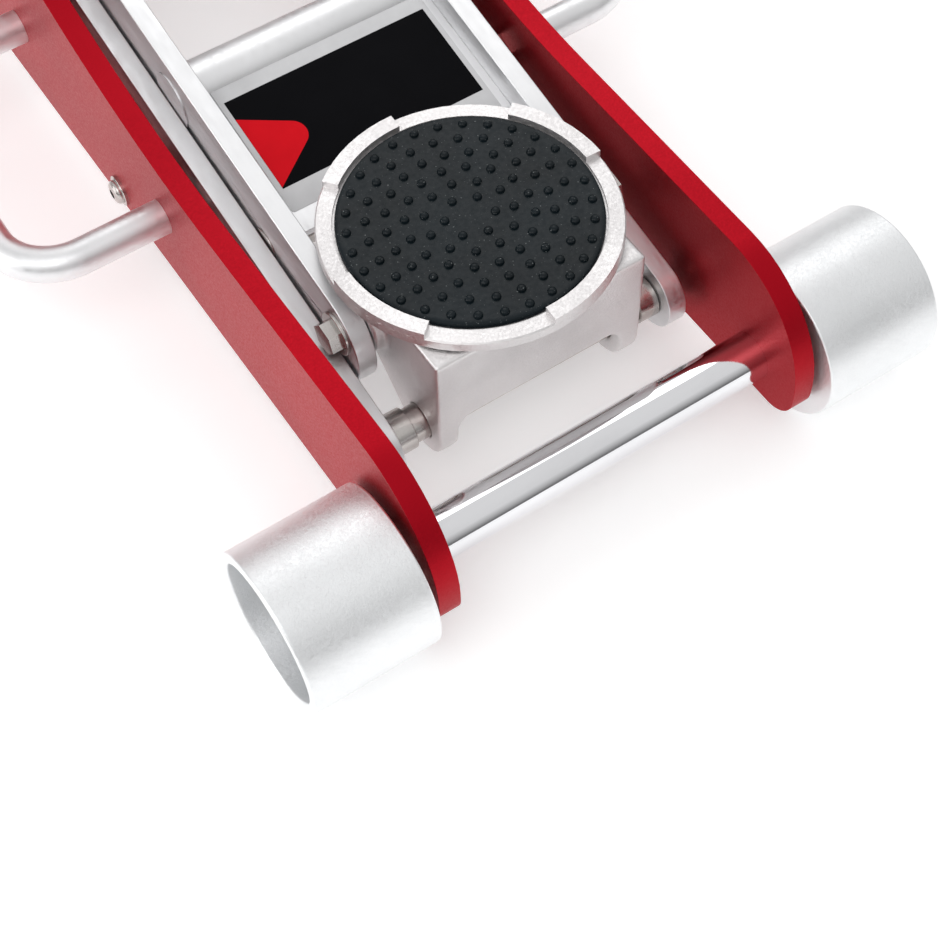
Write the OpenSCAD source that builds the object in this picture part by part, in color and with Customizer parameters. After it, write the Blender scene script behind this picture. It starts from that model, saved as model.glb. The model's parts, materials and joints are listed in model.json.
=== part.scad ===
// Low-profile aluminium floor jack. Millimetres, +Z up, front of the jack towards -Y.
// Shapes are drawn with y = 0 at the front axle, then shifted so the origin is the bottom centre.

/* [Front wheels] */
// radius of a front wheel, which is also the height of the front axle
wheel_r = 36; // [30:1:45]
// distance from the centre plane to the inner face of a front wheel
wheel_x = 96.5; // [90:0.5:110]
// width of a front wheel
wheel_w = 57.8; // [40:0.2:70]
// wall of the cup-shaped wheel
wheel_wall = 5; // [3:0.5:8]
// radius of the front axle
axle_r = 11; // [8:0.5:14]

/* [Side plates] */
// distance from the centre plane to the inner face of a side plate
plate_x = 83; // [80:1:90]
// thickness of a side plate
plate_t = 10; // [6:0.5:12]
// height of the lower edge over the floor
plate_z = 18.5; // [14:0.5:25]
// height of the low front part of a side plate
front_h = 88; // [80:1:100]
// height of the tall middle part of a side plate
middle_h = 156; // [145:1:170]
// radius of the front upper corner
nose_r = 50; // [35:1:60]

/* [Lift arm] */
// distance from the front axle back to the upper saddle pivot
upper_y = 87.5; // [80:0.5:100]
// height of the upper saddle pivot
upper_z = 67; // [60:0.5:75]
// distance between the two pivots of the lift arm
arm_len = 360; // [320:5:400]
// slope of the lowered arm in degrees
arm_slope = 10.76; // [8:0.01:14]
// distance from the centre plane to the inner face of an arm plate
arm_x = 57; // [52:1:60]
// thickness of an arm plate
arm_t = 9; // [6:0.5:10]
// height of the arm's straight top edge over the line through its pivots
arm_rise = 14; // [12:0.5:18]

/* [Levelling links] */
// distance the lower pin lies ahead of the upper pivot
link_ahead = 35.5; // [30:0.5:40]
// distance the lower pin lies below the upper pivot
link_below = 33; // [28:0.5:38]
// distance from the centre plane to the inner face of a link
link_x = 67; // [66:0.5:70]
// thickness of a link
link_t = 9; // [6:0.5:10]
// half width of a link bar
link_half = 16; // [12:0.5:18]
// radius of the pins at both ends of the links
link_pin_r = 8; // [6:0.5:10]

/* [Saddle] */
// distance from the front axle back to the saddle axis
saddle_y = 88.7; // [80:0.1:100]
// outer radius of the saddle
saddle_r = 63.4; // [50:0.1:70]
// height of the lowered saddle
saddle_z = 96.2; // [90:0.1:110]
// radius of the rubber pad
pad_r = 55.2; // [40:0.1:60]
// half width of the cast saddle bracket
bracket_half = 50.7; // [45:0.1:54]
// height of the top face of the bracket
bracket_z = 87.2; // [80:0.1:95]
// radius of the saddle stem
stem_r = 16; // [12:0.5:20]

/* [Hydraulic unit] */
// height of the ram axis
ram_z = 88; // [80:1:95]
// radius of the ram
ram_r = 16; // [12:0.5:20]
// stroke of the ram
ram_stroke = 62; // [55:1:70]
// radius of the ram pin
ram_pin_r = 9; // [7:0.5:11]
// outer radius of the oil reservoir
tank_r = 40; // [36:1:44]
// distance from the front axle to the front face of the pump block
block_y = 572; // [565:1:580]
// thickness of the pump block
block_t = 40; // [35:1:45]

/* [Handle] */
// distance from the front axle to the handle pivot
handle_y = 631; // [620:1:640]
// height of the handle pivot
handle_z = 130; // [120:1:140]
// forward lean of the parked handle in degrees
handle_lean = 4; // [2:0.5:8]
// length of the handle above its pivot
handle_len = 1120; // [900:10:1300]
// outer radius of the lower handle tube
handle_r = 15; // [12:0.5:18]

/* [Rear casters] */
// distance from the centre plane to a caster swivel axis
caster_x = 122; // [115:1:130]
// distance from the front axle to the caster swivel axes
caster_y = 585; // [575:1:595]
// radius of a caster wheel
caster_r = 25; // [20:1:30]
// distance the caster wheel trails behind its swivel axis
caster_trail = 20; // [15:1:25]

/* [Carry handles] */
// radius of the carry handle bar
grip_r = 8; // [6:0.5:10]
// distance from the centre plane to the long run of the bar
grip_x = 160; // [150:1:170]
// distance from the front axle to the front leg
grip_y = 190; // [180:1:200]
// spacing of the two legs
grip_span = 140; // [120:5:160]
// height of the bar
grip_z = 58; // [50:1:70]
// centreline radius of the bends
grip_bend = 28; // [20:1:35]

/* [Hidden] */
$fn = 64;
running = 0.05;
plate_out = plate_x + plate_t;
arm_out = arm_x + arm_t;
link_out = link_x + link_t;
wheel_out = wheel_x + wheel_w;
heel_r = 20;
rear_end = handle_y + heel_r;
axle_shift = wheel_r - (rear_end + wheel_r) / 2;

// pivots as [y, z] points
axle = [0, wheel_r];
upper = [upper_y, upper_z];
shaft = upper + arm_len * [cos(arm_slope), sin(arm_slope)];
lower = upper - [link_ahead, link_below];
anchor = shaft - [link_ahead, link_below];
handle_pivot = [handle_y, handle_z];

// pins, bolts and shafts
upper_r = 4;
upper_hex = [13, 5.3];
upper_washer_r = 10;
shaft_r = 12.5;
hub_r = 22;
bush_r = 16;
washer_t = 1.6;
rod_proud = 0.6;
tube_at = [221.5, 85.5];
tube_r = 13;
rod_at = [146, 64];
rod_r = 8;
tie_r = 9;
front_tie = [240, 28];
rear_tie = [500, 32];
ties = [front_tie, rear_tie];
grip_stud_r = 6;
grip_nut_t = 5.7;

// cover plate between the arms
cover_t = 4;
cover_half = arm_x;
cover_front = 46.5;
cover_rise = 1.1;
label_t = 0.4;
label_size = [101, 50];
label_ahead = 75;

// ram and cylinder
ram_rest = shaft.x + ram_stroke / 2 - 0.2;
slot_half = ram_pin_r + 1.8;
slot_near = shaft.y - ram_z - 1;
slot_far = 57;
slot_turn = atan2(ram_rest - shaft.x, shaft.y - ram_z);
head_r = 14;
head_half = 26;
head_back = ram_rest + head_r + 0.5;
gland_t = 9;
gland_y = head_back + 0.8;
tank_y = gland_y + gland_t;
tank_wall = 4;
barrel_r = 24;
piston_r = 19;
piston_t = 12;
piston_y = block_y - piston_t - 0.5;
seal_w = 4;

// pump block, pump pistons and release valve
block_half = 48;
block_z = [52, 142];
block_back = block_y + block_t;
ear_y = [block_y + 8, block_y + 34];
ear_z = [92, 122];
ear_bolt = [block_y + 21, 107];
pump_x = 22;
pump_z = 112;
pump_r = 6;
pump_len = 30;
pump_head = [9, 4];
pocket = [10.5, 6];
roller_reach = 20;
roller_r = 8;
roller_drop = 59;
roller_gap = 0.5;
pump_end = handle_y + roller_reach * cos(roller_drop - handle_lean) - roller_r - roller_gap;
valve_r = 5;
valve_depth = 16;
yoke_reach = 8;

// handle socket and handle, measured up from the pivot
socket_r = 19;
socket_bore = handle_r + 0.5;
socket_z = [34, 150];
bridge_z = [20, 36];
cheek_x = [69, 81];
cheek_r = 17.5;
pivot_r = 9;
plug_z = 15;
plug_r = 8;
lower_z = [42, 600];
upper_tube_z = [480, handle_len];
tube_wall = 2.5;
lock_z = 120;
groove = [1.5, 6];
button_z = 560;

// casters
caster_top = 62;
caster_half = 11.5;
fork_x = [12.5, 16];
bracket_t = 6;
flange_t = 5;
flange_h = 32;
king_r = 6;
caster_bolts = [568, 602];
caster_bolt_z = 82;

// node to draw, or all

// ---- helpers -------------------------------------------------------------

// direction of the outward normal on the straight run between two rounded corners [y, z, r]
function run_normal(a, b) =
    let (d = [b.x - a.x, b.y - a.y])
    atan2(d.y, d.x) - acos((a[2] - b[2]) / norm(d));

// turn at a corner, positive on a bulge and negative in a hollow
function corner_turn(r, n_in, n_out) =
    r >= 0 ? (n_out - n_in + 720) % 360 : -((n_in - n_out + 720) % 360);

// points of one corner, closer together on large radii
function corner_points(c, n_in, turn) =
    let (n = max(1, ceil(abs(turn) / (abs(c[2]) > 60 ? 1.5 : 7.5))))
    [for (i = [0:n]) [c.x, c.y] + c[2] * [cos(n_in + turn * i / n), sin(n_in + turn * i / n)]];

// closed outline through rounded corners [y, z, r] listed anticlockwise
function outline(corners) =
    let (n = len(corners))
    [for (i = [0:n - 1])
        let (n_in = run_normal(corners[(i + n - 1) % n], corners[i]))
        let (n_out = run_normal(corners[i], corners[(i + 1) % n]))
        each corner_points(corners[i], n_in, corner_turn(corners[i][2], n_in, n_out))];

module at_axle() {
    translate([0, axle_shift, 0]) children();
}

module both_sides() {
    children();
    mirror([1, 0, 0]) children();
}

// drawing in the y-z plane made solid from x0 to x1
module slab(x0, x1) {
    translate([x0, 0, 0]) rotate([90, 0, 90]) linear_extrude(x1 - x0) children();
}

// round bar across the jack at the point p = [y, z]
module bar(p, r, x0, x1) {
    translate([x0, p.x, p.y]) rotate([0, 90, 0]) cylinder(r = r, h = x1 - x0);
}

// ring across the jack at the point p
module ring(p, r_out, r_in, x0, x1) {
    difference() {
        bar(p, r_out, x0, x1);
        bar(p, r_in, x0 - 1, x1 + 1);
    }
}

// round bar along the jack at x, z
module long_bar(x, z, r, y0, y1) {
    translate([x, y0, z]) rotate([-90, 0, 0]) cylinder(r = r, h = y1 - y0);
}

// hexagon across the jack at the point p with width af over its flats, one flat turned by turn
module hex_bar(p, af, x0, x1, turn = 0) {
    translate([x0, p.x, p.y]) rotate([turn, 0, 0]) rotate([0, 90, 0])
        cylinder(r = af / 2 / cos(30), h = x1 - x0, $fn = 6);
}

// screw with a hexagon head standing out from x, its shank reaching back to x_in
module hex_bolt(p, r, af, x_in, x, head_t) {
    bar(p, r, x_in, x);
    hex_bar(p, af, x, x + head_t);
}

// ---- side plates, axle and carry handles -----------------------------------

function plate_corners() =
    let (low_r = 14)
    let (rise_y = [505, 552])
    let (rise_z = [12, 68])
    let (top_y = [140, 430, 470])
    let (hollow_r = 410)
    let (rise = middle_h - front_h)
    let (run = top_y[1] - top_y[0])
    let (bulge_r = (run * run + rise * rise) / (2 * rise) - hollow_r - 0.5)
    [[low_r - nose_r + 22, plate_z + low_r, low_r],
     [rise_y[0], plate_z + rise_z[0], rise_z[0]],
     [rise_y[1], rise_z[1] - 20, -20],
     [handle_y - 6, rise_z[1] + 12, 12],
     [handle_y, handle_z, heel_r],
     [top_y[2], middle_h - 30, 30],
     [top_y[1], middle_h - bulge_r, bulge_r],
     [top_y[0], front_h + hollow_r, -hollow_r],
     [22, front_h - nose_r, nose_r]];

module plate() {
    difference() {
        slab(plate_x, plate_out) polygon(outline(plate_corners()));
        bar(axle, axle_r, plate_x - 1, plate_out + 1);
        bar(shaft, shaft_r, plate_x - 1, plate_out + 1);
        bar(anchor, link_pin_r, plate_x - 1, plate_out + 1);
        bar(handle_pivot, pivot_r - 2, plate_x - 1, plate_out + 1);
        bar(ear_bolt, 5, plate_x - 1, plate_out + 1);
        for (p = ties)
            bar(p, 4, plate_x - 1, plate_out + 1);
        for (y = [grip_y, grip_y + grip_span])
            bar([y, grip_z], grip_stud_r, plate_x - 1, plate_out + 1);
        for (y = caster_bolts)
            bar([y, caster_bolt_z], 4, plate_x - 1, plate_out + 1);
    }
}

module plate_right() {
    color("firebrick") at_axle() plate();
}

module plate_left() {
    color("firebrick") at_axle() mirror([1, 0, 0]) plate();
}

hub_len = 30;
ring_t = 1.6;
axle_end = wheel_x + hub_len + 5;

module front_axle() {
    color("silver") at_axle() bar(axle, axle_r, -axle_end, axle_end);
}

module axle_washers() {
    color("gray") at_axle() both_sides()
        ring(axle, axle_r + 6, axle_r, plate_out, wheel_x - 0.4);
}

module axle_rings() {
    color("gray") at_axle() both_sides()
        ring(axle, axle_r + 3, axle_r, wheel_x + hub_len + 0.4, wheel_x + hub_len + 0.4 + ring_t);
}

module wheel() {
    web = 14;
    difference() {
        union() {
            difference() {
                bar(axle, wheel_r, wheel_x, wheel_out);
                bar(axle, wheel_r - wheel_wall, wheel_x + web, wheel_out + 1);
            }
            bar(axle, axle_r + 8, wheel_x, wheel_x + hub_len);
        }
        bar(axle, axle_r + 3, wheel_x - 1, wheel_x + hub_len + 1);
    }
}

module wheel_right() {
    color("lightgray") at_axle() wheel();
}

module wheel_left() {
    color("lightgray") at_axle() mirror([1, 0, 0]) wheel();
}

module wheel_bush() {
    ring(axle, axle_r + 3, axle_r + running, wheel_x, wheel_x + hub_len);
}

module wheel_bush_right() {
    color("goldenrod") at_axle() wheel_bush();
}

module wheel_bush_left() {
    color("goldenrod") at_axle() mirror([1, 0, 0]) wheel_bush();
}

// one leg, one bend and half of the long run, from the plate outwards
module carry_half() {
    straight = grip_x - grip_bend - plate_out;
    bar([0, grip_z], grip_r, plate_out, plate_out + straight);
    bar([0, grip_z], grip_stud_r, plate_x - grip_nut_t, plate_out);
    translate([plate_out + straight, grip_bend, grip_z]) rotate([0, 0, -90])
        rotate_extrude(angle = 90) translate([grip_bend, 0]) circle(grip_r);
    long_bar(grip_x, grip_z, grip_r, grip_bend, grip_span / 2);
}

module carry_handle() {
    translate([0, grip_y, 0]) carry_half();
    translate([0, grip_y + grip_span, 0]) mirror([0, 1, 0]) carry_half();
}

module carry_handle_right() {
    color("silver") at_axle() carry_handle();
}

module carry_handle_left() {
    color("silver") at_axle() mirror([1, 0, 0]) carry_handle();
}

module carry_nuts() {
    color("gray") at_axle() both_sides()
        for (y = [grip_y, grip_y + grip_span])
            difference() {
                hex_bar([y, grip_z], 18, plate_x - grip_nut_t, plate_x);
                bar([y, grip_z], grip_stud_r, plate_x - grip_nut_t - 1, plate_x + 1);
            }
}

module tie_rods() {
    color("gray") at_axle()
        for (p = ties)
            bar(p, tie_r, -plate_x, plate_x);
}

module button_screws() {
    color("silver") at_axle() both_sides()
        for (p = ties) {
            bar(p, 4, plate_x, plate_out);
            bar(p, 7.5, plate_out, plate_out + washer_t);
            translate([plate_out + washer_t, p.x, p.y]) rotate([0, 90, 0])
                cylinder(r1 = 6, r2 = 3.5, h = 3.2);
        }
}

// ---- lift arm ---------------------------------------------------------------

// from the arm's own frame (along the arm, square to it) to the y-z plane
module on_arm() {
    translate(upper) rotate(arm_slope) children();
}

function arm_corners() =
    let (belly = 36)
    let (lobe_r = slot_half + 9)
    let (lobe_at = [arm_len, 0] + slot_far * [sin(slot_turn + arm_slope), -cos(slot_turn + arm_slope)])
    let (end_r = 24)
    let (nose = [7, 24])
    let (hollow = [60, 80])
    let (neck = [40, 40])
    [[nose.x, arm_rise - nose[1], nose[1]],
     [arm_len - hollow.x, -belly - hollow[1], -hollow[1]],
     [lobe_at.x, lobe_at.y, lobe_r],
     [arm_len, 0, end_r],
     [arm_len - neck.x, arm_rise + neck[1], -neck[1]]];

module arm() {
    difference() {
        slab(arm_x, arm_out) on_arm() polygon(outline(arm_corners()));
        bar(upper, upper_r, arm_x - 1, arm_out + 1);
        bar(shaft, bush_r, arm_x - 1, arm_out + 1);
        bar(tube_at, tube_r, arm_x - 1, arm_out + 1);
        bar(rod_at, rod_r, arm_x - 1, arm_out + 1);
        ram_slot(arm_x - 1, arm_out + 1);
    }
}

// long hole in the arm's rear lobe in which the ram pin travels
module ram_slot(x0, x1) {
    translate([0, shaft.x, shaft.y]) rotate([slot_turn, 0, 0]) {
        translate([x0, -slot_half, -slot_far]) cube([x1 - x0, 2 * slot_half, slot_far - slot_near]);
        bar([0, -slot_near], slot_half, x0, x1);
        bar([0, -slot_far], slot_half, x0, x1);
    }
}

module arm_right() {
    color("lightsteelblue") at_axle() arm();
}

module arm_left() {
    color("lightsteelblue") at_axle() mirror([1, 0, 0]) arm();
}

tube_along = (tube_at - upper) * [cos(arm_slope), sin(arm_slope)];

module arm_cover() {
    color("silver") at_axle() difference() {
        slab(-cover_half, cover_half) on_arm()
            translate([cover_front, cover_rise - cover_t])
                square([tube_along - 4 - cover_front, cover_t]);
        bar(tube_at, tube_r, -cover_half - 1, cover_half + 1);
    }
}

module arm_label() {
    color("dimgray") at_axle()
        slab(-label_size.x / 2, label_size.x / 2) on_arm()
            translate([label_ahead - 6, cover_rise]) square([label_size.y, label_t]);
}

module cross_tube() {
    color("silver") at_axle()
        bar(tube_at, tube_r, -arm_out - rod_proud, arm_out + rod_proud);
}

module cross_rod() {
    color("silver") at_axle() bar(rod_at, rod_r, -arm_out - rod_proud, arm_out + rod_proud);
}

module arm_hub() {
    color("silver") at_axle() ring(shaft, hub_r, bush_r, -arm_x, arm_x);
}

module arm_bushes() {
    color("goldenrod") at_axle() both_sides()
        ring(shaft, bush_r, shaft_r + running, arm_out - 20, arm_out);
}

module upper_bolts() {
    color("gray") at_axle() both_sides() {
        bar(upper, upper_r, bracket_half - 12, arm_out + washer_t);
        hex_bar(upper, upper_hex[0], arm_out + washer_t, arm_out + washer_t + upper_hex[1], arm_slope + 30);
    }
}

// washers with a flat that clears the links
module upper_washers() {
    flat = link_below * cos(arm_slope) - link_ahead * sin(arm_slope) - link_half - 0.6;
    color("gray") at_axle() both_sides()
        difference() {
            ring(upper, upper_washer_r, upper_r, arm_out, arm_out + washer_t);
            translate([arm_out - 1, upper.x, upper.y]) rotate([arm_slope, 0, 0])
                translate([0, -20, -flat - 20]) cube([washer_t + 2, 40, 20]);
        }
}

// ---- levelling links ----------------------------------------------------------

module link() {
    difference() {
        slab(link_x, link_out) translate(lower) rotate(arm_slope)
            polygon(outline([[0, 0, link_half], [arm_len, 0, link_half]]));
        bar(lower, link_pin_r, link_x - 1, link_out + 1);
        bar(anchor, link_pin_r + running, link_x - 1, link_out + 1);
    }
}

module link_right() {
    color("silver") at_axle() link();
}

module link_left() {
    color("silver") at_axle() mirror([1, 0, 0]) link();
}

module lower_pin() {
    color("gray") at_axle() bar(lower, link_pin_r, -link_out - 4, link_out + 4);
}

// sleeves on the lower pin between the saddle bracket and the links, and the rings outside the links
module pin_collars() {
    color("silver") at_axle() both_sides() {
        ring(lower, link_pin_r + 1.5, link_pin_r, arm_x, link_x - 0.4);
        ring(lower, link_pin_r + 3, link_pin_r, link_out, link_out + ring_t);
    }
}

module link_bolts() {
    color("gray") at_axle() both_sides()
        hex_bolt(anchor, link_pin_r, 24, link_x, plate_out, 9);
}

// ---- arm shaft ------------------------------------------------------------------

module arm_shaft() {
    color("gray") at_axle() bar(shaft, shaft_r, -plate_out - 12, plate_out + 12);
}

module shaft_nuts() {
    color("gray") at_axle() both_sides()
        difference() {
            union() {
                bar(shaft, 20, plate_out, plate_out + 2);
                hex_bar(shaft, 34, plate_out + 2, plate_out + 10);
            }
            bar(shaft, shaft_r, plate_out - 1, plate_out + 11);
        }
}

// spacers that keep the arm and the links off the side plates
module side_spacers() {
    color("gray") at_axle() both_sides() {
        ring(shaft, shaft_r + 4, shaft_r, arm_out + 0.4, plate_x);
        ring(anchor, link_pin_r + 5, link_pin_r, link_out + 0.4, plate_x);
    }
}

// ---- saddle bracket and saddle --------------------------------------------------

bracket_front = lower.x - link_half + 0.4;
bracket_back = 118;
leg_t = 10;
leg_in = bracket_half - leg_t;
arch_z = 45;
deck_t = 14;
stem_z = 54;

function cheek_corners() =
    [[lower.x, lower.y, lower.x - bracket_front],
     [upper.x, upper.y, 16],
     [bracket_back - 5, bracket_z - 5, 5],
     [bracket_front + 3, bracket_z - 3, 3]];

// front wall with an arch between the legs
module bracket_wall() {
    wall_t = 14;
    fillet = 8;
    translate([-bracket_half, bracket_front, arch_z])
        cube([2 * bracket_half, wall_t, bracket_z - arch_z]);
    both_sides()
        difference() {
            translate([leg_in - fillet, bracket_front, arch_z - fillet])
                cube([fillet + 1, wall_t, fillet + 1]);
            long_bar(leg_in - fillet, arch_z - fillet, fillet, bracket_front - 1, bracket_front + wall_t + 1);
        }
}

module saddle_bracket() {
    color("silver") at_axle() difference() {
        union() {
            both_sides() slab(leg_in, bracket_half) polygon(outline(cheek_corners()));
            translate([-leg_in, bracket_front, bracket_z - deck_t])
                cube([2 * leg_in, bracket_back - bracket_front, deck_t]);
            bracket_wall();
            translate([0, saddle_y, stem_z + 4]) cylinder(r = stem_r + 11, h = bracket_z - stem_z - 4);
            both_sides() bar(upper, 14, bracket_half, arm_x - 0.4);
        }
        translate([0, saddle_y, 0]) cylinder(r = stem_r + running, h = saddle_z);
        both_sides() bar(upper, upper_r + running, bracket_half - 14, arm_x);
        bar(lower, link_pin_r + running, -arm_x, arm_x);
    }
}

rim_w = 7;
rim_under = 88.4;
rim_top = 93.2;
dish_r = saddle_r - 9;
seat_z = 92;
pad_z = 95;
lug_count = 4;
lug_span = 42;
lug_turn = 19;

// half section of the saddle casting, from its axis outwards
function saddle_section() =
    [[0, stem_z], [stem_r, stem_z], [stem_r, bracket_z + 0.4], [dish_r, bracket_z + 0.4],
     [dish_r + 2, rim_under], [saddle_r, rim_under], [saddle_r, rim_top - 0.6], [saddle_r - 0.6, rim_top],
     [saddle_r - rim_w, rim_top], [saddle_r - rim_w, seat_z], [0, seat_z]];

// casting with raised lugs standing on its rim
module saddle() {
    color("silver") at_axle() translate([0, saddle_y, 0]) {
        rotate_extrude() polygon(saddle_section());
        for (i = [0:lug_count - 1])
            rotate([0, 0, lug_turn - lug_span / 2 + i * 360 / lug_count])
                rotate_extrude(angle = lug_span)
                    translate([saddle_r - rim_w, rim_top - 0.8]) square([rim_w, saddle_z - rim_top + 0.8]);
    }
}

module saddle_pad() {
    color("dimgray") at_axle() translate([0, saddle_y, seat_z])
        cylinder(r = pad_r, h = pad_z - seat_z);
}

// ---- hydraulic unit ---------------------------------------------------------------

module ram_head() {
    color("gray") at_axle() difference() {
        union() {
            bar([ram_rest, ram_z], head_r, -head_half, head_half);
            translate([-head_half, ram_rest, ram_z - head_r])
                cube([2 * head_half, head_back - ram_rest, 2 * head_r]);
        }
        bar([ram_rest, ram_z], ram_pin_r, -head_half - 1, head_half + 1);
    }
}

module ram_pin() {
    color("gray") at_axle() {
        bar([ram_rest, ram_z], ram_pin_r, -arm_out - rod_proud, arm_out + rod_proud);
        both_sides() ring([ram_rest, ram_z], ram_pin_r + 4, ram_pin_r, head_half, arm_x - 0.5);
    }
}

module ram() {
    groove_y = piston_y + (piston_t - seal_w) / 2;
    color("silver") at_axle() {
        long_bar(0, ram_z, ram_r, head_back, piston_y);
        difference() {
            long_bar(0, ram_z, piston_r, piston_y, piston_y + piston_t);
            difference() {
                long_bar(0, ram_z, piston_r + 1, groove_y, groove_y + seal_w);
                long_bar(0, ram_z, piston_r - 3, groove_y - 1, groove_y + seal_w + 1);
            }
        }
    }
}

module ram_seal() {
    groove_y = piston_y + (piston_t - seal_w) / 2;
    color("dimgray") at_axle() difference() {
        long_bar(0, ram_z, piston_r, groove_y, groove_y + seal_w);
        long_bar(0, ram_z, piston_r - 3, groove_y - 1, groove_y + seal_w + 1);
    }
}

module gland() {
    color("gray") at_axle() difference() {
        long_bar(0, ram_z, tank_r, gland_y, tank_y);
        long_bar(0, ram_z, ram_r + running, gland_y - 1, tank_y + 1);
    }
}

module barrel() {
    color("gray") at_axle() difference() {
        long_bar(0, ram_z, barrel_r, tank_y, block_y);
        long_bar(0, ram_z, piston_r + running, tank_y - 1, block_y + 1);
    }
}

module tank() {
    color("firebrick") at_axle() difference() {
        long_bar(0, ram_z, tank_r, tank_y, block_y);
        long_bar(0, ram_z, tank_r - tank_wall, tank_y - 1, block_y + 1);
        translate([0, (tank_y + block_y) / 2, ram_z]) cylinder(r = 5, h = tank_r + 1);
    }
}

module filler_plug() {
    color("dimgray") at_axle() translate([0, (tank_y + block_y) / 2, ram_z + tank_r - tank_wall]) {
        cylinder(r = 5, h = tank_wall + 1);
        translate([0, 0, tank_wall + 1]) cylinder(r = 8, h = 5);
    }
}

module pump_block() {
    color("dimgray") at_axle() difference() {
        union() {
            translate([-block_half, block_y, block_z[0]])
                cube([2 * block_half, block_t, block_z[1] - block_z[0]]);
            translate([-plate_x, ear_y[0], ear_z[0]])
                cube([2 * plate_x, ear_y[1] - ear_y[0], ear_z[1] - ear_z[0]]);
        }
        for (x = [-pump_x, pump_x]) {
            long_bar(x, pump_z, pump_r + running, block_back - 32, block_back + 1);
            long_bar(x, pump_z, pocket[0], block_back - pocket[1], block_back + 1);
        }
        long_bar(0, handle_z, valve_r + running, block_back - valve_depth - 2, block_back + 1);
        both_sides() bar(ear_bolt, 5, plate_x - 18, plate_x + 1);
    }
}

module block_bolts() {
    color("gray") at_axle() both_sides()
        hex_bolt(ear_bolt, 5, 16, plate_x - 18, plate_out, 6.4);
}

module pump_pistons() {
    color("silver") at_axle()
        for (x = [-pump_x, pump_x]) {
            long_bar(x, pump_z, pump_r, pump_end - pump_len, pump_end);
            long_bar(x, pump_z, pump_head[0], pump_end - pump_head[1], pump_end);
        }
}

// spindle with the fork of the knuckle that joins it to the handle
module release_valve() {
    color("silver") at_axle() {
        long_bar(0, handle_z, valve_r, block_back - valve_depth, handle_y - yoke_reach);
        long_bar(0, handle_z, valve_r - 1, handle_y - yoke_reach, handle_y - 3);
        for (side = [-1, 1])
            translate([side * 5 - 1.5, handle_y - yoke_reach, handle_z - 3])
                cube([3, 2 * yoke_reach - 1, 6]);
    }
}

// ---- handle ---------------------------------------------------------------------

module at_handle() {
    at_axle() translate([0, handle_y, handle_z]) rotate([handle_lean, 0, 0]) children();
}

// tube standing on the handle axis between the two heights in z
module post(r_out, r_in, z) {
    translate([0, 0, z[0]]) difference() {
        cylinder(r = r_out, h = z[1] - z[0]);
        translate([0, 0, -1]) cylinder(r = r_in, h = z[1] - z[0] + 2);
    }
}

// round bar pointing forward from the handle axis at the height z, between the radii r0 and r1
module spoke(z, r, r0, r1) {
    translate([0, -r0, z]) rotate([90, 0, 0]) cylinder(r = r, h = r1 - r0);
}

roller_at = roller_reach * [cos(roller_drop), -sin(roller_drop)];
roller_pin_r = 4.5;

module handle_socket() {
    bridge_half = 16;
    color("firebrick") at_handle() difference() {
        union() {
            both_sides() slab(cheek_x[0], cheek_x[1])
                polygon(outline([[0, 0, cheek_r], [roller_at.x, roller_at.y, roller_pin_r + 2.5],
                    [bridge_half - 3, bridge_z[1] - 3, 3], [3 - bridge_half, bridge_z[1] - 3, 3]]));
            translate([-cheek_x[0], -bridge_half, bridge_z[0]])
                cube([2 * cheek_x[0], 2 * bridge_half, bridge_z[1] - bridge_z[0]]);
            translate([0, 0, socket_z[0]]) cylinder(r = socket_r, h = socket_z[1] - socket_z[0]);
        }
        translate([0, 0, bridge_z[0] + 10]) cylinder(r = socket_bore, h = handle_len);
        cylinder(r = plug_r + 1, h = handle_len);
        both_sides() bar([0, 0], pivot_r + running, cheek_x[0] - 1, cheek_x[1] + 1);
        bar(roller_at, roller_pin_r, -cheek_x[1] - 1, cheek_x[1] + 1);
        spoke(lock_z, 4, 0, socket_r + 1);
    }
}

module rollers() {
    color("silver") at_handle() {
        bar(roller_at, roller_pin_r, -cheek_x[1], cheek_x[1]);
        for (x = [-pump_x, pump_x])
            bar(roller_at, roller_r, x - 7, x + 7);
    }
}

module lock_screw() {
    knob = [9, 10];
    neck = 6;
    color("dimgray") at_handle() {
        spoke(lock_z, 4, handle_r - groove[0] + 0.7, socket_r + neck);
        spoke(lock_z, knob[0], socket_r + neck, socket_r + neck + knob[1]);
    }
}

module handle_bolts() {
    color("gray") at_axle() both_sides() {
        bar(handle_pivot, pivot_r, cheek_x[0], plate_x);
        bar(handle_pivot, pivot_r - 2, plate_x, plate_out);
        hex_bar(handle_pivot, 22, plate_out, plate_out + 8);
    }
}

// lower tube with its drive plug, and the thinner upper tube pushed into it
module handle_tubes() {
    inner_r = handle_r - tube_wall;
    color("silver") at_handle() {
        difference() {
            post(handle_r, inner_r, lower_z);
            post(handle_r + 1, handle_r - groove[0], [lock_z - groove[1], lock_z + groove[1]]);
        }
        translate([0, 0, lower_z[0]]) cylinder(r = inner_r, h = 25);
        translate([0, 0, plug_z]) cylinder(r = plug_r, h = lower_z[0] - plug_z);
        post(inner_r, inner_r - tube_wall, upper_tube_z);
        spoke(button_z, 4, inner_r - 1, handle_r + 2);
    }
}

module handle_grips() {
    color("dimgray") at_handle() {
        post(handle_r + 9, handle_r, [260, 400]);
        post(handle_r + 2, handle_r - tube_wall, [handle_len - 140, handle_len]);
        translate([0, 0, handle_len]) cylinder(r = handle_r + 2, h = 6);
    }
}

// ---- rear casters -----------------------------------------------------------------

king_head_t = 4;
swivel_gap = 0.5;
fork_z = caster_top - 5;

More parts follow.
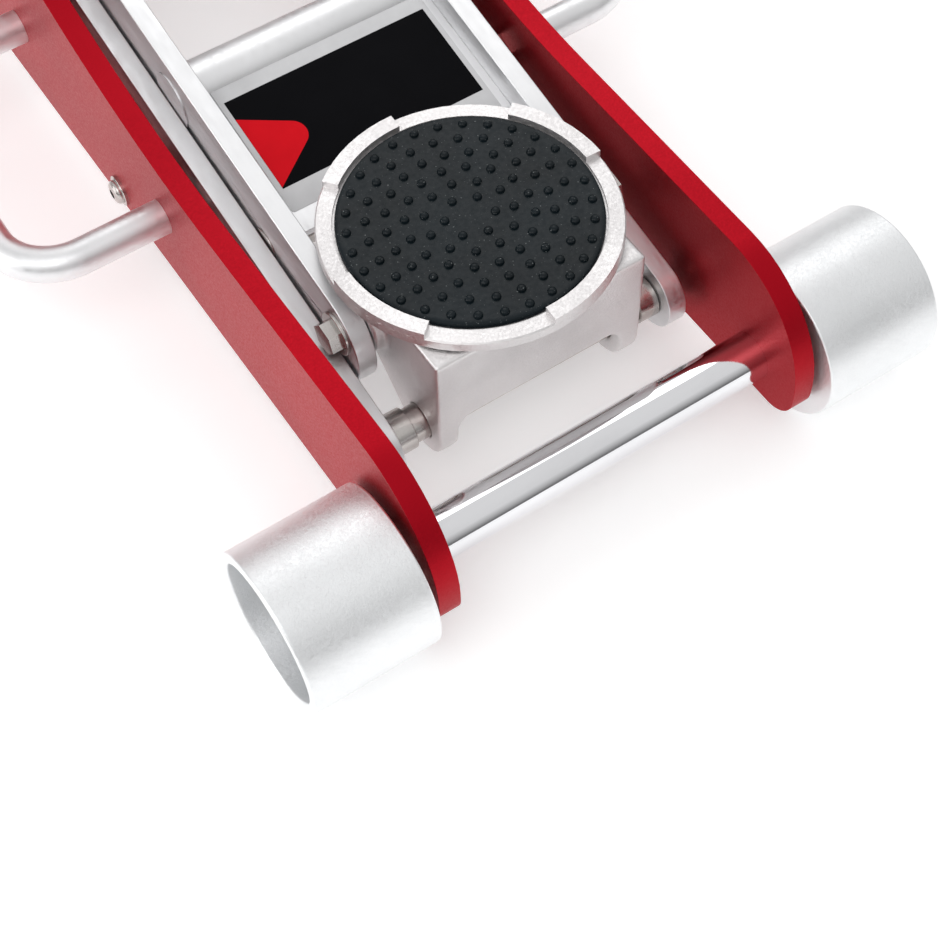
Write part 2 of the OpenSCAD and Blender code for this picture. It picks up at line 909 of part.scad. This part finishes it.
module caster_bracket() {
    half = 24;
    difference() {
        union() {
            translate([plate_out, caster_y - half, caster_top + swivel_gap])
                cube([caster_x - plate_out, 2 * half, bracket_t]);
            translate([caster_x, caster_y, caster_top + swivel_gap]) cylinder(r = half, h = bracket_t);
            translate([plate_out, caster_bolts[0] - 12, caster_top + swivel_gap])
                cube([flange_t, caster_bolts[1] - caster_bolts[0] + 24, flange_h]);
        }
        translate([caster_x, caster_y, 0]) cylinder(r = king_r, h = 2 * caster_top);
        for (y = caster_bolts)
            bar([y, caster_bolt_z], 4, plate_out - 1, plate_out + flange_t + 1);
    }
}

module caster_brackets() {
    color("gray") at_axle() both_sides() caster_bracket();
}

module caster_screws() {
    color("gray") at_axle() both_sides()
        for (y = caster_bolts)
            hex_bolt([y, caster_bolt_z], 4, 13, plate_x, plate_out + flange_t, 5);
}

module caster_kingpins() {
    color("gray") at_axle() both_sides() translate([caster_x, caster_y, 0]) {
        translate([0, 0, fork_z - swivel_gap]) cylinder(r = king_r, h = bracket_t + 12);
        translate([0, 0, fork_z - swivel_gap - king_head_t]) cylinder(r = 9, h = king_head_t);
        translate([0, 0, caster_top + swivel_gap + bracket_t]) cylinder(r = 9, h = 5);
    }
}

// fork of one caster with its axle, the wheel trailing behind the swivel axis
module fork() {
    wheel_at = [caster_y + caster_trail, caster_r];
    difference() {
        union() {
            translate([0, caster_y, fork_z]) cylinder(r = 22, h = caster_top - fork_z);
            both_sides() slab(fork_x[0], fork_x[1])
                polygon(outline([[wheel_at.x, wheel_at.y, 9], [caster_y + 18, caster_top - 2, 2],
                    [caster_y - 12, caster_top - 2, 2]]));
        }
        translate([0, caster_y, 0]) cylinder(r = king_r + running, h = 2 * caster_top);
    }
    bar(wheel_at, 4, -fork_x[1] - 3, fork_x[1] + 3);
}

module caster_fork_right() {
    color("gray") at_axle() translate([caster_x, 0, 0]) fork();
}

module caster_fork_left() {
    color("gray") at_axle() translate([-caster_x, 0, 0]) fork();
}

module caster_wheel() {
    ring([caster_y + caster_trail, caster_r], caster_r, 4 + running, -caster_half, caster_half);
}

module caster_wheel_right() {
    color("silver") at_axle() translate([caster_x, 0, 0]) caster_wheel();
}

module caster_wheel_left() {
    color("silver") at_axle() translate([-caster_x, 0, 0]) caster_wheel();
}

// ---- output ----------------------------------------------------------------------

plate_left();
plate_right();
front_axle();
axle_washers();
axle_rings();
carry_handle_left();
carry_handle_right();
carry_nuts();
tie_rods();
button_screws();
arm_shaft();
shaft_nuts();
side_spacers();
link_bolts();
tank();
barrel();
gland();
pump_block();
block_bolts();
filler_plug();
handle_bolts();
caster_brackets();
caster_screws();
caster_kingpins();
wheel_left();
wheel_bush_left();
wheel_right();
wheel_bush_right();
arm_left();
arm_right();
arm_cover();
arm_label();
cross_tube();
cross_rod();
arm_hub();
arm_bushes();
upper_bolts();
upper_washers();
link_left();
link_right();
lower_pin();
pin_collars();
saddle_bracket();
saddle();
saddle_pad();
ram();
ram_seal();
ram_head();
ram_pin();
pump_pistons();
release_valve();
handle_socket();
rollers();
lock_screw();
handle_tubes();
handle_grips();
caster_fork_left();
caster_fork_right();
caster_wheel_left();
caster_wheel_right();
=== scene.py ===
"""Looks of the low-profile floor jack: materials, finer pieces, floor, lights and camera.

Everything is in metres in the frame of the CAD model: +Z up, saddle and front wheels towards -Y.
"""

import json
import math

import bmesh
import bpy
from mathutils import Euler, Matrix, Vector


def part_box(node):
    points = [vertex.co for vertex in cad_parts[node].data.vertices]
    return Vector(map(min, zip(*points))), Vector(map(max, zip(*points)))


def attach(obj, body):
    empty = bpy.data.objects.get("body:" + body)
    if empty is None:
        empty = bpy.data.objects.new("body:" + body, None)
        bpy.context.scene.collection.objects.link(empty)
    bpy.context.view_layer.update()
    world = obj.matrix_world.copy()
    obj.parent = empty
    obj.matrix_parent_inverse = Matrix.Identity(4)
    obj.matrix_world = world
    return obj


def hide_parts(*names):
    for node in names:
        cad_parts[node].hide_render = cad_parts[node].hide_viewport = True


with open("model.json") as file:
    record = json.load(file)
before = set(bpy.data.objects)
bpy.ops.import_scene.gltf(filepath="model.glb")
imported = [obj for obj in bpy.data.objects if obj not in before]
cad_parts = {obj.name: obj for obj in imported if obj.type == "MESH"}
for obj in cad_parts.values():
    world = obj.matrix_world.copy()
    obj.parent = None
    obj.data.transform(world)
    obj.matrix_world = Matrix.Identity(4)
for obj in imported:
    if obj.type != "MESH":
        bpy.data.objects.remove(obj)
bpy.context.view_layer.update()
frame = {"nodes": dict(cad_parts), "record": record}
NODES = frame["nodes"]
MM = 0.001


# ---- places taken from the CAD nodes -----------------------------------------


def centre(node):
    """Middle of a CAD node's box."""
    low, high = (Vector(corner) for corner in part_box(node))
    return (low + high) / 2


def span(node):
    """Size of a CAD node's box."""
    low, high = (Vector(corner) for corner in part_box(node))
    return high - low


# ---- materials ------------------------------------------------------------------


class Shader:
    """One material built from nodes, in the coordinates of the object."""

    def __init__(self, name):
        self.material = bpy.data.materials.new(name)
        self.material.use_nodes = True
        self.tree = self.material.node_tree
        self.surface = self.tree.nodes["Principled BSDF"]
        self.coords = self.node("ShaderNodeTexCoord").outputs["Object"]

    def node(self, kind, **values):
        made = self.tree.nodes.new(kind)
        for key, value in values.items():
            setattr(made, key, value)
        return made

    def link(self, source, target):
        self.tree.links.new(source, target)

    def set(self, **values):
        for key, value in values.items():
            self.surface.inputs[key.replace("_", " ")].default_value = value

    def stretched(self, stretch):
        mapping = self.node("ShaderNodeMapping")
        mapping.inputs["Scale"].default_value = stretch
        self.link(self.coords, mapping.inputs["Vector"])
        return mapping.outputs["Vector"]

    def noise(self, scale, detail=4.0, stretch=(1, 1, 1)):
        made = self.node("ShaderNodeTexNoise")
        made.inputs["Scale"].default_value = scale
        made.inputs["Detail"].default_value = detail
        self.link(self.stretched(stretch), made.inputs["Vector"])
        return made.outputs["Fac"]

    def flakes(self, scale):
        """A random value for each small cell, like the grains of a metallic paint."""
        made = self.node("ShaderNodeTexVoronoi")
        made.inputs["Scale"].default_value = scale
        self.link(self.coords, made.inputs["Vector"])
        return made.outputs["Color"]

    def fit(self, value, low, high, to_low, to_high):
        made = self.node("ShaderNodeMapRange")
        for key, number in zip(("From Min", "From Max", "To Min", "To Max"), (low, high, to_low, to_high)):
            made.inputs[key].default_value = number
        self.link(value, made.inputs["Value"])
        return made.outputs["Result"]

    def mix(self, value, first, second):
        """first where value is 0, second where it is 1; each is a colour or a socket."""
        made = self.node("ShaderNodeMix", data_type="RGBA")
        self.link(value, made.inputs["Factor"])
        for socket, colour in ((made.inputs[6], first), (made.inputs[7], second)):
            if isinstance(colour, (tuple, list)):
                socket.default_value = (*colour, 1.0)
            else:
                self.link(colour, socket)
        return made.outputs[2]

    def colour(self, socket):
        self.link(socket, self.surface.inputs["Base Color"])

    def roughness(self, socket):
        self.link(socket, self.surface.inputs["Roughness"])

    def bump(self, height, strength, distance):
        made = self.node("ShaderNodeBump")
        made.inputs["Strength"].default_value = strength
        made.inputs["Distance"].default_value = distance
        self.link(height, made.inputs["Height"])
        previous = self.surface.inputs["Normal"].links
        if previous:
            self.link(previous[0].from_socket, made.inputs["Normal"])
        self.link(made.outputs["Normal"], self.surface.inputs["Normal"])


def metal(name, light, dark, rough, grain, stretch=(1, 1, 1), bump=0.15):
    """Bare or plated metal: uneven tone, fine grain along stretch, and smudged gloss."""
    shader = Shader(name)
    shader.set(Metallic=1.0)
    cloud = shader.noise(22, 3)
    fine = shader.noise(grain, 5, stretch)
    shader.colour(shader.mix(shader.fit(cloud, 0.35, 0.7, 0, 1), light, dark))
    shader.roughness(shader.fit(fine, 0.3, 0.7, rough * 0.8, rough * 1.25))
    shader.bump(fine, bump, 0.0002)
    return shader


def brushed(name, light, dark, rough):
    shader = metal(name, light, dark, rough, 420, (1, 0.12, 1), 0.10)
    return shader.material


def sparkling(name, light, dark, rough):
    """Metallic silver paint or sandblasted casting with visible bright grains."""
    shader = metal(name, light, dark, rough, 900, bump=0.20)
    shader.bump(shader.flakes(1100), 0.55, 0.0003)
    shader.bump(shader.noise(260, 3), 0.10, 0.0006)
    return shader.material


def anodised_red():
    """Red anodised aluminium plate: deep colour, satin gloss and a fine rolled grain."""
    shader = Shader("red_plate")
    shader.set(Metallic=0.85, Specular_IOR_Level=0.3)
    cloud = shader.noise(14, 3)
    fine = shader.noise(1100, 4)
    shader.colour(shader.mix(shader.fit(cloud, 0.3, 0.7, 0, 1), (0.42, 0.003, 0.012), (0.36, 0.002, 0.010)))
    shader.roughness(shader.fit(fine, 0.3, 0.7, 0.34, 0.50))
    shader.bump(fine, 0.25, 0.0002)
    return shader.material


def enamel(name, light, dark, rough=0.3):
    """Sprayed paint with slight orange peel and dust."""
    shader = Shader(name)
    shader.set(Coat_Weight=0.5, Coat_Roughness=0.12)
    cloud = shader.noise(30, 4)
    peel = shader.noise(240, 2)
    shader.colour(shader.mix(shader.fit(cloud, 0.35, 0.7, 0, 1), light, dark))
    shader.roughness(shader.fit(cloud, 0.3, 0.7, rough * 0.85, rough * 1.3))
    shader.bump(peel, 0.12, 0.0005)
    return shader.material


def chrome():
    """Polished steel bar, with faint turning marks and a few handling smears."""
    shader = Shader("chrome_steel")
    shader.set(Metallic=1.0)
    smear = shader.noise(35, 5, (0.4, 1, 1))
    marks = shader.noise(900, 2, (1, 0.05, 0.05))
    shader.colour(shader.mix(shader.fit(smear, 0.4, 0.75, 0, 1), (0.84, 0.84, 0.86), (0.70, 0.70, 0.72)))
    shader.roughness(shader.fit(smear, 0.35, 0.7, 0.05, 0.13))
    shader.bump(marks, 0.03, 0.0001)
    return shader.material


def rubber(name, tone, speck=0.0, grain=500, rough=0.55):
    """Moulded rubber or foam with a matt grain and, where speck is set, bright dust."""
    shader = Shader(name)
    shader.set(Specular_IOR_Level=0.20)
    cloud = shader.noise(40, 4)
    fine = shader.noise(grain, 4)
    dust = shader.fit(shader.noise(1100, 1), 0.70, 0.78, 0, speck)
    base = shader.mix(shader.fit(cloud, 0.3, 0.7, 0, 1), tone, tuple(1.6 * c for c in tone))
    shader.colour(shader.mix(dust, base, (0.55, 0.58, 0.58)))
    shader.roughness(shader.fit(fine, 0.3, 0.7, rough * 0.8, rough * 1.25))
    shader.bump(fine, 0.35, 0.0003)
    return shader.material


def film(name, tone, rough=0.28):
    """Printed label film: flat colour with slight unevenness under a gloss coat."""
    shader = Shader(name)
    shader.set(Specular_IOR_Level=0.02)
    cloud = shader.noise(60, 3)
    shader.colour(shader.mix(shader.fit(cloud, 0.3, 0.7, 0, 1), tone, tuple(0.88 * c for c in tone)))
    shader.roughness(shader.fit(cloud, 0.3, 0.7, rough, rough * 1.3))
    shader.bump(shader.noise(300, 2), 0.04, 0.0004)
    return shader.material


MATERIALS = {
    "red_plate": anodised_red(),
    "cast_aluminium": sparkling("cast_aluminium", (0.86, 0.84, 0.84), (0.72, 0.70, 0.70), 0.48),
    "rolled_aluminium": brushed("rolled_aluminium", (0.86, 0.86, 0.87), (0.78, 0.78, 0.79), 0.42),
    "wheel_silver": sparkling("wheel_silver", (0.92, 0.93, 0.94), (0.86, 0.87, 0.88), 0.46),
    "chrome_steel": chrome(),
    "zinc_steel": metal("zinc_steel", (0.66, 0.64, 0.62), (0.42, 0.38, 0.36), 0.22, 500).material,
    "dark_steel": metal("dark_steel", (0.16, 0.16, 0.17), (0.10, 0.10, 0.10), 0.38, 500).material,
    "black_iron": enamel("black_iron", (0.016, 0.016, 0.018), (0.030, 0.030, 0.032), 0.38),
    "red_steel": enamel("red_steel", (0.42, 0.008, 0.015), (0.34, 0.006, 0.012)),
    "bronze": metal("bronze", (0.62, 0.40, 0.17), (0.50, 0.31, 0.12), 0.36, 500).material,
    "pad_rubber": rubber("pad_rubber", (0.002, 0.005, 0.007), 0.25, rough=0.34),
    "grip_foam": rubber("grip_foam", (0.018, 0.018, 0.018), grain=240, rough=0.75),
    "label_film": film("label_film", (0.004, 0.004, 0.005)),
    "label_margin": film("label_margin", (0.66, 0.66, 0.67)),
    "label_red": film("label_red", (0.70, 0.008, 0.016)),
    "seal_rubber": rubber("seal_rubber", (0.015, 0.015, 0.015)),
    "caster_tread": enamel("caster_tread", (0.46, 0.46, 0.48), (0.38, 0.38, 0.40), 0.42),
}


# ---- mesh helpers ----------------------------------------------------------------


def finish_edges(obj, width, segments=3, angle=32):
    """Rounds the hard edges and smooths everything shallower than angle degrees."""
    if "custom_normal" in obj.data.attributes:
        obj.data.attributes.remove(obj.data.attributes["custom_normal"])
    weld = obj.modifiers.new("joined_faces", "WELD")
    weld.merge_threshold = 0.01 * MM
    if width > 0:
        bevel = obj.modifiers.new("rounded_edges", "BEVEL")
        bevel.width = width
        bevel.segments = segments
        bevel.limit_method = "ANGLE"
        bevel.angle_limit = math.radians(angle)
        bevel.use_clamp_overlap = True
        bevel.harden_normals = True
    obj.data.shade_smooth()
    obj.data.set_sharp_from_angle(angle=math.radians(angle))


def piece(name, mesh, body, slot, replaces=(), material=None, edge=0.0):
    """Places a new mesh as a named piece that rides a body and may stand for CAD nodes."""
    data = bpy.data.meshes.new(name)
    bmesh.ops.recalc_face_normals(mesh, faces=mesh.faces)
    mesh.to_mesh(data)
    mesh.free()
    obj = bpy.data.objects.new(name, data)
    bpy.context.scene.collection.objects.link(obj)
    data.materials.append(MATERIALS[material or slot])
    finish_edges(obj, edge)
    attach(obj, body)
    if replaces:
        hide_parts(*replaces)
    return obj


def turn_axis(axis):
    """Rotation that takes +Z to the given axis."""
    return Vector((0, 0, 1)).rotation_difference(Vector(axis)).to_matrix().to_4x4()


def lathe(mesh, profile, place, steps=96, shape=None):
    """Revolves (radius, height) points about Z; shape(angle, r, h) may bend the profile on its way round."""
    rings = []
    for i in range(steps):
        angle = 2 * math.pi * i / steps
        ring = []
        for r, h in profile:
            r2, h2 = shape(angle, r, h) if shape else (r, h)
            ring.append(mesh.verts.new(place @ Vector((r2 * math.cos(angle), r2 * math.sin(angle), h2))))
        rings.append(ring)
    for i in range(steps):
        here, there = rings[i], rings[(i + 1) % steps]
        for j in range(len(profile) - 1):
            mesh.faces.new((here[j], there[j], there[j + 1], here[j + 1]))
    bmesh.ops.remove_doubles(mesh, verts=[v for ring in rings for v in ring], dist=1e-7)
    return mesh


def at(point, axis=(0, 0, 1)):
    """Placement with its Z along axis, at a point."""
    return Matrix.Translation(Vector(point)) @ turn_axis(axis)


# ---- saddle pad with its studs -----------------------------------------------------

PAD_R = span("saddle_pad").x / 2
PAD_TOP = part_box("saddle_pad")[1][2]
PAD_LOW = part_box("saddle_pad")[0][2]
STUD = [
    (2.15 * MM, -0.2 * MM),
    (1.95 * MM, 0.15 * MM),
    (1.85 * MM, 0.7 * MM),
    (1.5 * MM, 1.2 * MM),
    (0.8 * MM, 1.5 * MM),
    (0, 1.6 * MM),
]


def pad_mesh():
    """Rubber disc with a soft edge and rings of small round studs."""
    mesh = bmesh.new()
    middle = centre("saddle_pad")
    place = Matrix.Translation((middle.x, middle.y, 0))
    soft = 1.0 * MM
    dip = 0.25 * MM
    top = PAD_TOP - dip
    side = [(0, PAD_LOW), (PAD_R, PAD_LOW), (PAD_R, top - soft)]
    corner = [(PAD_R - 0.35 * soft, top - 0.3 * soft), (PAD_R - soft, top)]
    face = [(PAD_R - 3 * MM, top - 0.2 * MM), (PAD_R - 5 * MM, top - dip), (0, top - dip)]
    lathe(mesh, side + corner + face, place, 160)
    pitch = 8.0 * MM
    spread = 1.32
    twist = 0.35
    ring_r = PAD_R - 4.6 * MM
    ring = 0
    while ring_r > 0.5 * pitch:
        count = round(2 * math.pi * ring_r / (pitch * spread))
        for i in range(count):
            angle = 2 * math.pi * i / count + twist * ring
            spot = Vector((ring_r * math.cos(angle), ring_r * math.sin(angle), top - dip))
            lathe(mesh, STUD, place @ Matrix.Translation(spot), 14)
        ring_r -= pitch
        ring += 1
    return mesh


piece("pad", pad_mesh(), "saddle", "pad_rubber", ["saddle_pad"])


# ---- button-head screws on the side plates -------------------------------------------


SOCKET_R = 2.4 * MM
# how far a washer and its head stand out from a side plate
HEAD_OUT = 4.8 * MM


def hex_socket(angle, r, h):
    """Flattens the points of a screw head's socket into a hexagon."""
    sixth = math.pi / 3
    if 0 < r <= SOCKET_R:
        r *= math.cos(sixth / 2) / math.cos((angle % sixth) - sixth / 2)
    return r, h


def button_heads():
    """Domed heads with a hexagon socket on their washers, two on each side."""
    low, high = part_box("button_screws")
    washer_r = 7.5 * MM
    washer = 1.6 * MM
    tall = 3.1 * MM
    head_r = 5.8 * MM
    flat_r = 2.9 * MM
    socket_floor = washer + 0.6 * MM
    chamfer = 0.3 * MM
    steps = 8
    spots = ((low[1] + washer_r, low[2] + washer_r), (high[1] - washer_r, high[2] - washer_r))
    profile = [(0, socket_floor), (SOCKET_R, socket_floor), (SOCKET_R, washer + tall)]
    for i in range(steps + 1):
        turn = math.radians(90 * i / steps)
        dome_r = flat_r + (head_r - flat_r) * math.sin(turn)
        profile.append((dome_r, washer + tall * (0.25 + 0.75 * math.cos(turn))))
    profile += [(head_r, washer), (washer_r - chamfer, washer), (washer_r, washer - chamfer)]
    profile += [(washer_r, 0), (0, 0)]
    mesh = bmesh.new()
    for side in (-1, 1):
        face = side * (high[0] - HEAD_OUT)
        for y, z in spots:
            lathe(mesh, profile, at((face, y, z), (side, 0, 0)), 60, hex_socket)
    piece("button_heads", mesh, "frame", "zinc_steel", ["button_screws"])


button_heads()


# ---- handle grip and caster wheels ---------------------------------------------------


# forward lean of the parked handle, and heights along it from its pivot
LEAN = math.radians(4)
BUMPER = (260 * MM, 400 * MM)
GRIP = (980 * MM, 1125.8 * MM)


def handle_place():
    """Placement whose Z runs up the parked handle from its pivot."""
    return Matrix.Translation(centre("handle_bolts")) @ Matrix.Rotation(LEAN, 4, "X")


def rounded_sleeve(low, high, r_out, r_in, soft):
    """Profile of a tube between two heights with soft outer corners."""
    foot = [(r_in, low), (r_out - soft, low), (r_out - 0.3 * soft, low + 0.3 * soft)]
    wall = [(r_out, low + soft), (r_out, high - soft)]
    head = [(r_out - 0.3 * soft, high - 0.3 * soft), (r_out - soft, high), (r_in, high)]
    return foot + wall + head + foot[:1]


def ribbed_grip(low, high, r_out, ribs):
    """Profile of a moulded end grip: shallow finger ribs below a domed closed end."""
    depth = 1.1 * MM
    dome = 6 * MM
    margins = (4 * MM, 10 * MM)
    profile = [(r_out - 3 * MM, low), (r_out - 1 * MM, low), (r_out, low + 1 * MM)]
    steps = 12 * ribs
    for i in range(steps + 1):
        wave = 0.5 - 0.5 * math.cos(2 * math.pi * ribs * i / steps)
        height = low + margins[0] + (high - low - sum(margins)) * i / steps
        profile.append((r_out - depth * wave, height))
    for i in range(1, 9):
        turn = math.radians(90 * i / 8)
        profile.append((r_out - dome + dome * math.cos(turn), high - dome + dome * math.sin(turn)))
    return profile + [(0, high)]


def handle_foam():
    """Foam bumper on the lower tube and ribbed grip at the top of the handle."""
    mesh = bmesh.new()
    place = handle_place()
    lathe(mesh, rounded_sleeve(*BUMPER, 23.8 * MM, 15 * MM, 5 * MM), place, 96)
    lathe(mesh, ribbed_grip(*GRIP, 16.9 * MM, 9), place, 72)
    piece("handle_foam", mesh, "handle", "grip_foam", ["handle_grips"])


def caster_roll(side):
    """Cast wheel with a rounded tread, a recessed web and a raised hub."""
    node = "caster_wheel_" + side
    half = span(node).x / 2
    tread = span(node).z / 2
    hub = [(4.1 * MM, half), (8.5 * MM, half), (9.2 * MM, half - 0.8 * MM), (9.6 * MM, half - 3 * MM)]
    web = [(tread - 6 * MM, half - 3 * MM), (tread - 5 * MM, half - 1.2 * MM)]
    shoulder = [(tread - 4 * MM, half - 0.6 * MM), (tread - 1.6 * MM, half - 1.4 * MM)]
    crown = [(tread - 0.4 * MM, half - 3 * MM), (tread, half - 5.5 * MM)]
    flank = hub + web + shoulder + crown
    profile = flank + [(r, -h) for r, h in reversed(flank)] + flank[:1]
    mesh = lathe(bmesh.new(), profile, at(centre(node), (1, 0, 0)), 96)
    piece("caster_roll_" + side, mesh, node, "caster_tread", [node])


handle_foam()
for side in ("left", "right"):
    caster_roll(side)


# ---- label ---------------------------------------------------------------------------


def label_plane():
    """Placement on the cover: X across the jack, Y up the slope from the label's front edge."""
    low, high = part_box("arm_label")
    slope = math.atan2(high[2] - low[2], high[1] - low[1])
    return Matrix.Translation((0, low[1], low[2] + 0.1 * MM)) @ Matrix.Rotation(slope, 4, "X")


def sheet_mesh(corners, thick):
    """Flat sheet over an outline in the label's plane, from its face down by thick."""
    mesh = bmesh.new()
    place = label_plane()
    top = [mesh.verts.new(place @ Vector((x, y, thick))) for x, y in corners]
    low = [mesh.verts.new(place @ Vector((x, y, 0))) for x, y in corners]
    mesh.faces.new(top)
    mesh.faces.new(list(reversed(low)))
    for i in range(len(corners)):
        j = (i + 1) % len(corners)
        mesh.faces.new((top[i], low[i], low[j], top[j]))
    return mesh


def rounded(corners, steps=10):
    """Outline through corners (x, y, radius), each with a radius rounded by an arc tangent to both sides."""
    points = []
    count = len(corners)
    for i in range(count):
        here = Vector(corners[i][:2])
        radius = corners[i][2]
        if radius == 0:
            points.append(here)
            continue
        to_last = (Vector(corners[i - 1][:2]) - here).normalized()
        to_next = (Vector(corners[(i + 1) % count][:2]) - here).normalized()
        half = to_last.angle(to_next) / 2
        heart = here + (to_last + to_next).normalized() * radius / math.sin(half)
        start = here + to_last * radius / math.tan(half) - heart
        end = here + to_next * radius / math.tan(half) - heart
        sweep = start.angle_signed(end)
        for k in range(steps + 1):
            turned = start.copy()
            turned.rotate(Matrix.Rotation(-sweep * k / steps, 2))
            points.append(heart + turned)
    return [(p.x, p.y) for p in points]


LABEL_HALF = span("arm_label").x / 2
LABEL_LONG = 49 * MM


def label_piece(name, corners, thick, replaces=(), material=None):
    """One layer of the label, which rides the arm."""
    mesh = sheet_mesh(rounded(corners), thick)
    piece(name, mesh, "lift_arm", "label_film", replaces, material=material)


def label_pieces():
    """Black panel with a plain red patch at one edge, on a light film margin."""
    side = LABEL_HALF + 2.5 * MM
    near, far = -12 * MM, 58 * MM
    soft = 1.5 * MM
    margin = [(-side, near, soft), (side, near, soft), (side, far, soft), (-side, far, soft)]
    label_piece("label_margin", margin, 0.12 * MM, material="label_margin")
    half = LABEL_HALF
    panel = [(-half, 0, 0), (half, 0, 0), (half, LABEL_LONG, 0), (-half, LABEL_LONG, 0)]
    label_piece("label_panel", panel, 0.22 * MM, ["arm_label"])
    patch = [(-half, 0.6 * MM, 0), (-half + 30 * MM, 21.5 * MM, 7 * MM), (-half, 39.4 * MM, 0)]
    label_piece("label_patch", patch, 0.30 * MM, material="label_red")


label_pieces()


# ---- finish of the CAD nodes ----------------------------------------------------------

SLOT_OF = {entry["node"]: entry["material_slot"] for entry in frame["record"]["subparts"]}
EDGE = {
    "plate_left": 0.9,
    "plate_right": 0.9,
    "wheel_left": 1.0,
    "wheel_right": 1.0,
    "saddle": 0.5,
    "arm_left": 0.6,
    "arm_right": 0.6,
    "link_left": 0.9,
    "link_right": 0.9,
    "front_axle": 0.6,
    "upper_bolts": 0.4,
    "pump_block": 2.0,
    "handle_socket": 1.2,
}
USUAL_EDGE = 0.35
CAST = {"saddle_bracket": 14}


def soften(obj, passes):
    """Melts the edges of a casting by smoothing a fine even skin over it."""
    skin = obj.modifiers.new("even_skin", "REMESH")
    skin.mode = "VOXEL"
    skin.voxel_size = 0.9 * MM
    skin.use_smooth_shade = True
    melt = obj.modifiers.new("melted_edges", "SMOOTH")
    melt.factor = 0.5
    melt.iterations = passes


def dress_cad_nodes():
    """Gives every CAD node its material, and rounds the edges of those that show."""
    for name, obj in NODES.items():
        obj.data.materials.clear()
        obj.data.materials.append(MATERIALS[SLOT_OF[name]])
        if name in CAST:
            soften(obj, CAST[name])
        else:
            finish_edges(obj, EDGE.get(name, USUAL_EDGE) * MM)


dress_cad_nodes()


# ---- floor, light and camera -------------------------------------------------------------


def floor():
    """Large pale floor with a barely visible tone change."""
    mesh = bmesh.new()
    bmesh.ops.create_grid(mesh, x_segments=8, y_segments=8, size=6.0)
    data = bpy.data.meshes.new("floor")
    mesh.to_mesh(data)
    mesh.free()
    obj = bpy.data.objects.new("floor", data)
    bpy.context.scene.collection.objects.link(obj)
    shader = Shader("floor_paint")
    shader.set(Roughness=0.9, Specular_IOR_Level=0.1, Emission_Color=(1, 1, 1, 1), Emission_Strength=0.32)
    tone = shader.noise(3, 2)
    shader.colour(shader.mix(tone, (0.92, 0.92, 0.92), (0.90, 0.90, 0.90)))
    data.materials.append(shader.material)


def lamp(name, place, aim, size, power):
    """Square soft light that faces a point."""
    data = bpy.data.lights.new(name, "AREA")
    data.size = size
    data.energy = power
    obj = bpy.data.objects.new(name, data)
    obj.location = place
    obj.rotation_euler = (Vector(aim) - Vector(place)).to_track_quat("-Z", "Y").to_euler()
    bpy.context.scene.collection.objects.link(obj)


def sky():
    """Bright room for the metal to mirror: light above, a darker band near the horizon."""
    world = bpy.data.worlds.new("studio")
    bpy.context.scene.world = world
    world.use_nodes = True
    tree = world.node_tree
    coords = tree.nodes.new("ShaderNodeTexCoord").outputs["Generated"]
    split = tree.nodes.new("ShaderNodeSeparateXYZ")
    tree.links.new(coords, split.inputs[0])
    ramp = tree.nodes.new("ShaderNodeValToRGB")
    stops = ((0.0, 0.45), (0.42, 0.42), (0.52, 0.18), (0.62, 0.50), (0.80, 0.96), (1.0, 1.0))
    elements = ramp.color_ramp.elements
    while len(elements) < len(stops):
        elements.new(0.5)
    for element, (where, tone) in zip(elements, stops):
        element.position = where
        element.color = (tone, tone, tone, 1)
    half = tree.nodes.new("ShaderNodeMapRange")
    half.inputs["From Min"].default_value = -1
    tree.links.new(split.outputs["Z"], half.inputs["Value"])
    tree.links.new(half.outputs["Result"], ramp.inputs["Fac"])
    background = tree.nodes["Background"]
    background.inputs["Strength"].default_value = 0.78
    tree.links.new(ramp.outputs["Color"], background.inputs["Color"])


def camera():
    """Same place and lens as the photographer's: above and ahead of the left front wheel."""
    data = bpy.data.cameras.new("camera")
    data.sensor_width = 36
    data.lens = 68.7136
    data.clip_end = 50
    obj = bpy.data.objects.new("camera", data)
    obj.location = (-0.25945, -0.62482, 0.65920)
    obj.rotation_euler = Euler([math.radians(a) for a in (32.3400, 0.7559, -33.6996)], "XYZ")
    bpy.context.scene.collection.objects.link(obj)
    bpy.context.scene.camera = obj


floor()
sky()
lamp("key", (-0.9, -0.9, 1.7), (0, -0.2, 0.05), 1.2, 7)
lamp("left_fill", (-1.5, 0.2, 0.55), (-0.08, -0.1, 0.05), 1.0, 8)
lamp("back_top", (0.7, 1.0, 1.6), (0, -0.1, 0.05), 1.2, 6)
camera()
bpy.context.scene.view_settings.view_transform = "Standard"
